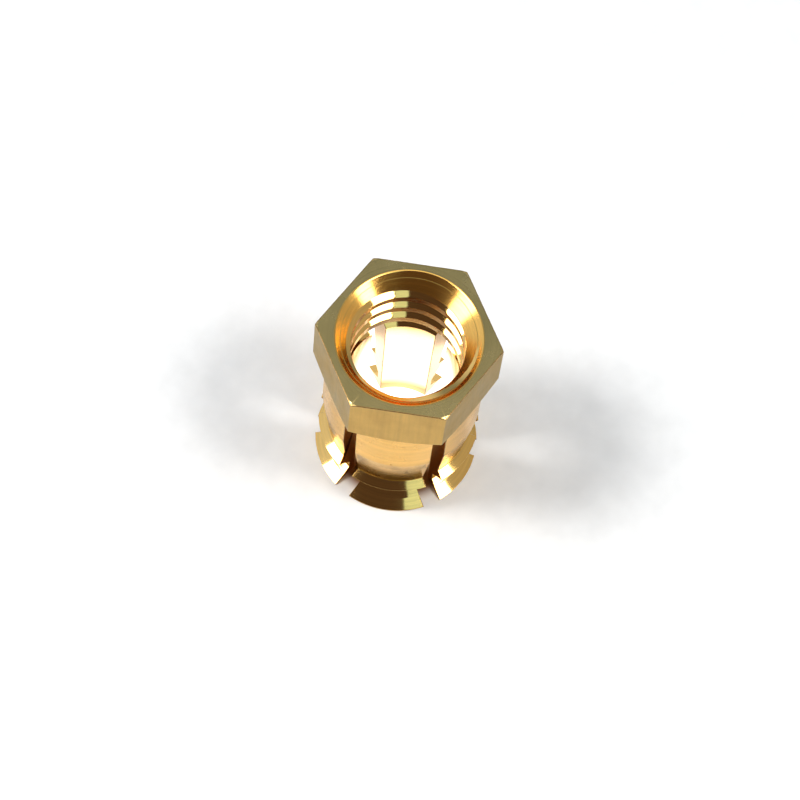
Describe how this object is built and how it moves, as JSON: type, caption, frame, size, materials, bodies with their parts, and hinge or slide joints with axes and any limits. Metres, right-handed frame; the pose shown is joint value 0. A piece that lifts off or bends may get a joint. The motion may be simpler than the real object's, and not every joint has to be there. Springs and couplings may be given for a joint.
{
  "type": "threaded insert",
  "caption": "Brass threaded insert with a hexagonal head, a countersunk female thread and a saw-cut sleeve whose spring fingers end in barbs.",
  "frame": {"origin": "centre of the plane through the finger tips, on the axis of the bore", "axes": "+Z along the axis of the bore, out of the threaded mouth; the X axis runs through two corners of the hexagon"},
  "size_m": [0.008, 0.0074, 0.0106],
  "materials": {
    "brass": "turned and faced bar stock, bright in the bore and on the barbs"
  },
  "bodies": {
    "root": {"threaded_insert": "brass"}
  },
  "joints": []
}
